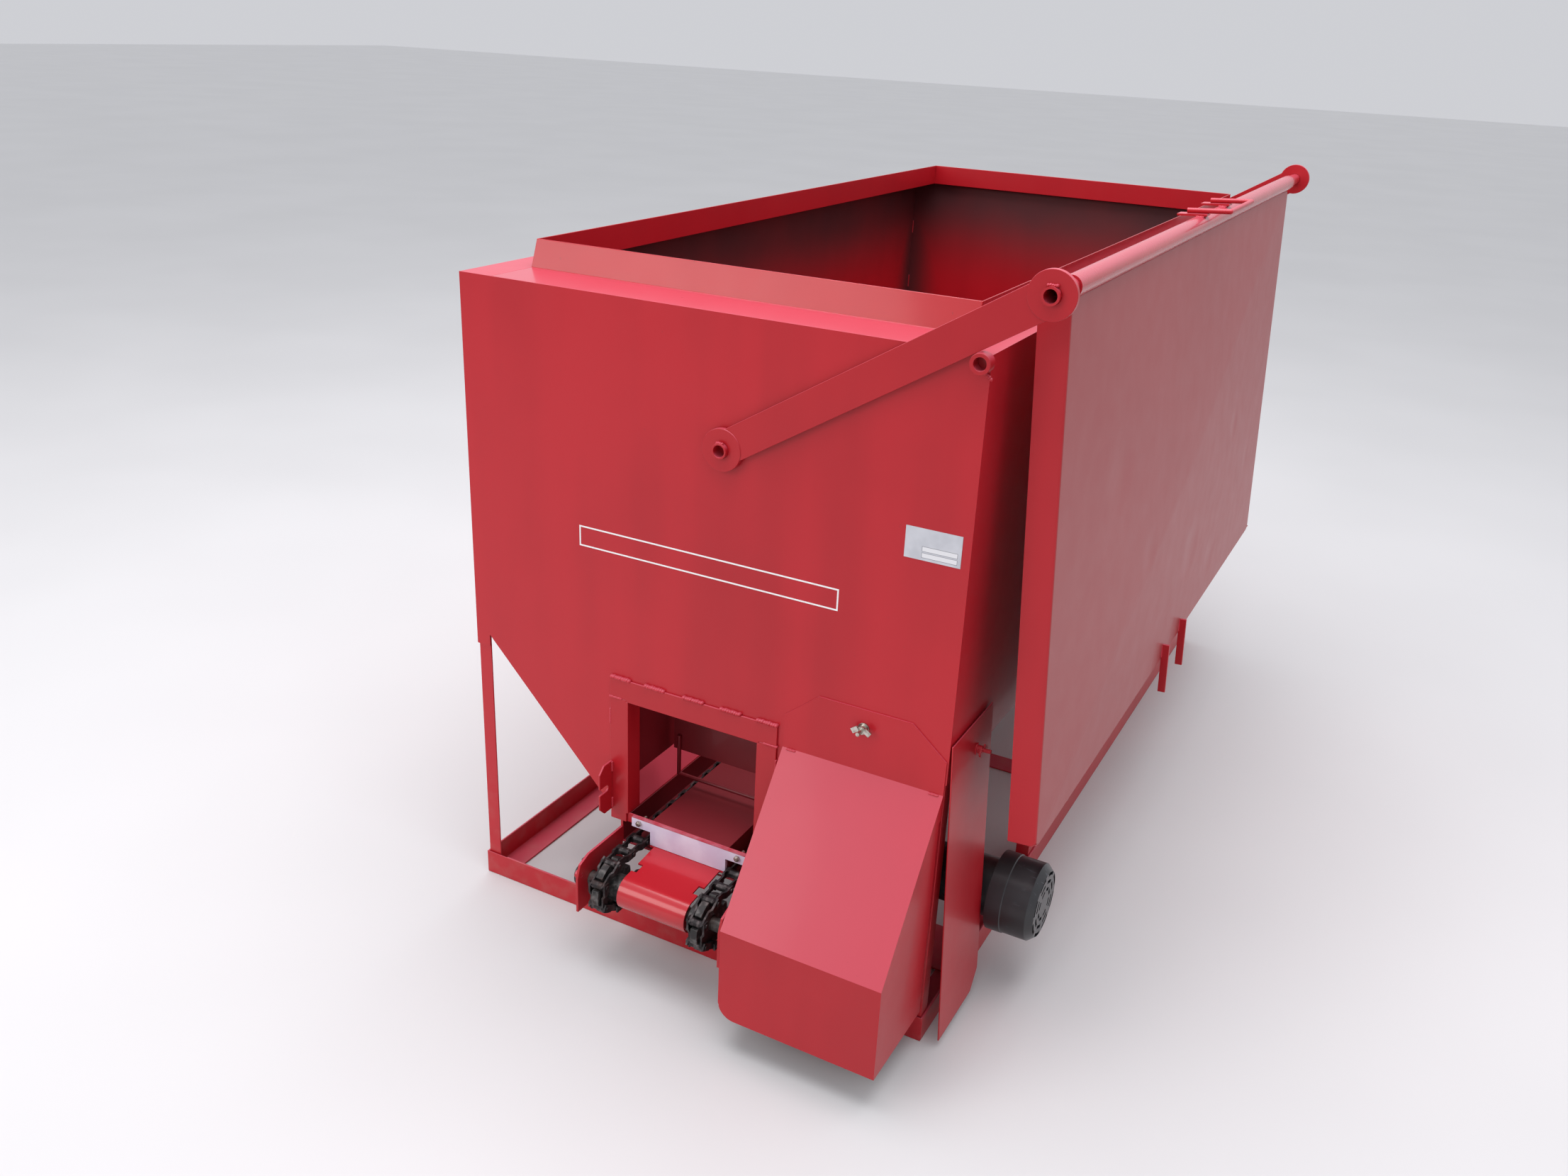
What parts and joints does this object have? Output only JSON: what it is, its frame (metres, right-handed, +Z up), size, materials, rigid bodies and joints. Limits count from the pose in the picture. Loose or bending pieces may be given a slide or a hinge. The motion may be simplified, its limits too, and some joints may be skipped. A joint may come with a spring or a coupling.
{
  "type": "truck-bed range cube feeder",
  "caption": "Hopper feeder for livestock range cubes, with a chain conveyor at the bottom and a roll-over lid stored on its side.",
  "frame": {"origin": "middle of the base, on the surface that it stands on", "axes": "+X to the right as seen from the discharge end, +Y from the discharge end to the rear, +Z up"},
  "size_m": [1.4217, 2.8752, 1.713],
  "materials": {
    "red_paint": "gloss red enamel",
    "dark_steel": "oiled bare steel",
    "zinc": "zinc plated",
    "white_plastic": "slippery white plastic",
    "black_paint": "satin black",
    "label": "blank rating label"
  },
  "bodies": {
    "frame": {"front_panel": "red_paint", "rear_panel": "red_paint", "left_wall": "red_paint", "right_wall": "red_paint", "left_slope": "red_paint", "right_slope": "red_paint", "front_coaming": "red_paint", "rear_coaming": "red_paint", "left_coaming": "red_paint", "right_coaming": "red_paint", "corner_posts": "red_paint", "side_posts": "red_paint", "left_rail": "red_paint", "right_rail": "red_paint", "front_rail": "red_paint", "rear_rail": "red_paint", "cross_members": "red_paint", "trough_floor": "red_paint", "frame_header": "red_paint", "left_jamb": "red_paint", "right_jamb": "red_paint", "spout_brackets": "red_paint", "wiper_strip": "white_plastic", "wiper_bolts": "zinc", "nose_plate": "red_paint", "boot_sides": "red_paint", "boot_bolts": "red_paint", "shaft_bearings": "dark_steel", "left_conveyor_chain": "dark_steel", "right_conveyor_chain": "dark_steel", "tail_sides": "red_paint", "tail_bearings": "dark_steel", "roller_chain": "dark_steel", "motor_mount": "red_paint", "gearbox_housing": "dark_steel", "motor_can": "black_paint", "motor_cover": "black_paint", "drive_hood": "red_paint", "side_guard": "red_paint", "wing_bolts": "zinc", "pivot_stubs": "red_paint", "gate_hangers": "red_paint", "gate_rod": "zinc", "label_plate": "label"},
    "drive_line": {"drive_shaft": "dark_steel", "front_sprockets": "dark_steel", "driven_sprocket": "dark_steel"},
    "tail_line": {"tail_shaft": "dark_steel", "tail_sprockets": "dark_steel"},
    "motor_output": {"output_shaft": "dark_steel", "motor_sprocket": "dark_steel"},
    "rotor": {"motor_armature": "dark_steel"},
    "arms": {"front_arm": "red_paint", "rear_arm": "red_paint", "lid_pipe": "red_paint"},
    "lid": {"lid_sheet": "red_paint", "lid_sleeve": "red_paint", "lid_handle": "red_paint", "lid_grab_bars": "red_paint"},
    "trip_gate": {"gate_flap": "red_paint"}
  },
  "joints": [
    {"name": "motor_spin", "type": "hinge", "parent": "frame", "child": "motor_output", "pos_m": [0.42, -0.9335, 0.23], "axis": [1, 0, 0], "continuous": true, "deforming": ["roller_chain"]},
    {"name": "conveyor_spin", "type": "hinge", "parent": "frame", "child": "drive_line", "pos_m": [0, -1.377, 0.215], "axis": [1, 0, 0], "continuous": true, "deforming": ["left_conveyor_chain", "right_conveyor_chain"]},
    {"name": "tail_spin", "type": "hinge", "parent": "frame", "child": "tail_line", "pos_m": [0, 1.30905, 0.215], "axis": [1, 0, 0], "continuous": true},
    {"name": "rotor_spin", "type": "hinge", "parent": "frame", "child": "rotor", "pos_m": [0.6, -0.9335, 0.23], "axis": [1, 0, 0], "continuous": true},
    {"name": "arm_swing", "type": "hinge", "parent": "frame", "child": "arms", "pos_m": [0.066, 0, 1.274], "axis": [0, -1, 0], "range_deg": [0, 116]},
    {"name": "lid_swing", "type": "hinge", "parent": "arms", "child": "lid", "pos_m": [0.708, 0, 1.668], "axis": [0, -1, 0], "range_deg": [0, 60]},
    {"name": "gate_swing", "type": "hinge", "parent": "frame", "child": "trip_gate", "pos_m": [0, -1.06, 0.585], "axis": [-1, 0, 0], "range_deg": [0, 50]}
  ],
  "couplings": [
    {"joint": "conveyor_spin", "follows": "motor_spin", "ratio": 0.66667},
    {"joint": "tail_spin", "follows": "motor_spin", "ratio": 0.66667},
    {"joint": "rotor_spin", "follows": "motor_spin", "ratio": 20}
  ]
}
